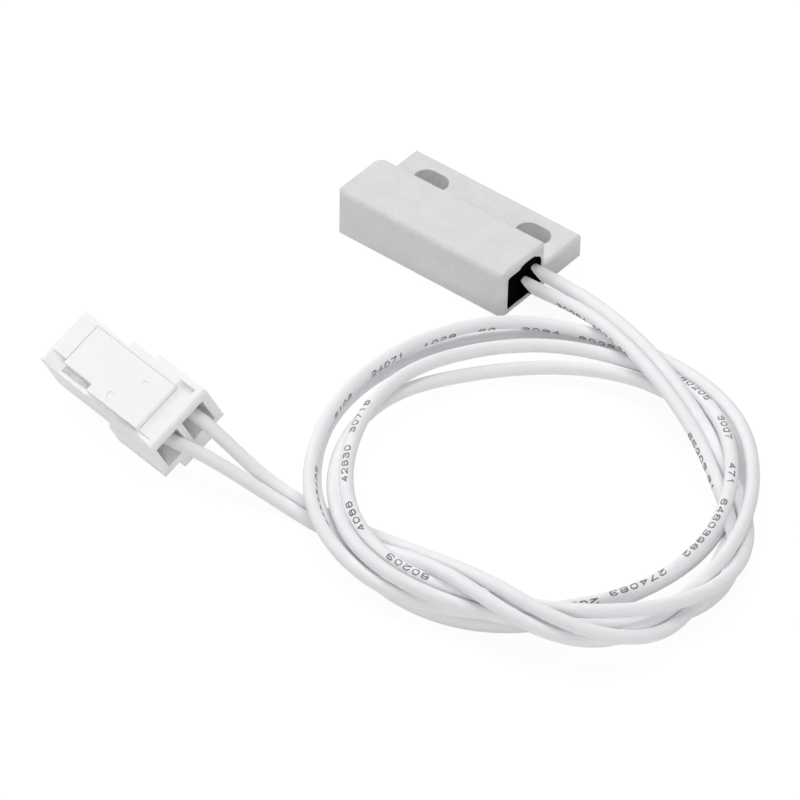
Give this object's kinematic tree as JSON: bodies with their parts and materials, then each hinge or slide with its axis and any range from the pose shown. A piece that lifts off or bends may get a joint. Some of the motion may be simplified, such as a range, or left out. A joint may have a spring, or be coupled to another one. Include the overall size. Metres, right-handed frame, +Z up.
{
  "type": "reed sensor",
  "caption": "Flange-mount reed sensor: a potted white plastic housing with two mounting slots, a magnetic reed switch inside, and two thin white wires in loose turns that end in a plug.",
  "frame": {"origin": "middle of the housing's underside, the face that lies on the mounting surface", "axes": "+X along the housing towards its cable end, +Y across the housing towards the mounting flange, +Z up out of the mounting surface"},
  "size_m": [0.0758, 0.0588, 0.009],
  "materials": {
    "housing_plastic": "moulded, satin, off-white",
    "potting_resin": "cast epoxy, black",
    "reed_glass": "clear, faintly green",
    "reed_metal": "nickel-iron, plated",
    "solder": "dull solder",
    "tinned_copper": "tinned strands",
    "wire_insulation": "satin white insulation",
    "contact_metal": "tin-plated brass sheet",
    "plug_plastic": "moulded nylon, white",
    "retainer_plastic": "moulded nylon, white"
  },
  "bodies": {
    "root": {"housing": "housing_plastic", "potting": "potting_resin", "reed_glass": "reed_glass", "reed_blade_one": "reed_metal", "reed_blade_two": "reed_metal", "solder_one": "solder", "solder_two": "solder", "strands_one_in_sensor": "tinned_copper", "strands_two_in_sensor": "tinned_copper", "wire_one": "wire_insulation", "wire_two": "wire_insulation", "strands_one_in_plug": "tinned_copper", "strands_two_in_plug": "tinned_copper", "contact_one": "contact_metal", "contact_two": "contact_metal", "plug_housing": "plug_plastic", "plug_retainer": "retainer_plastic"}
  },
  "joints": []
}
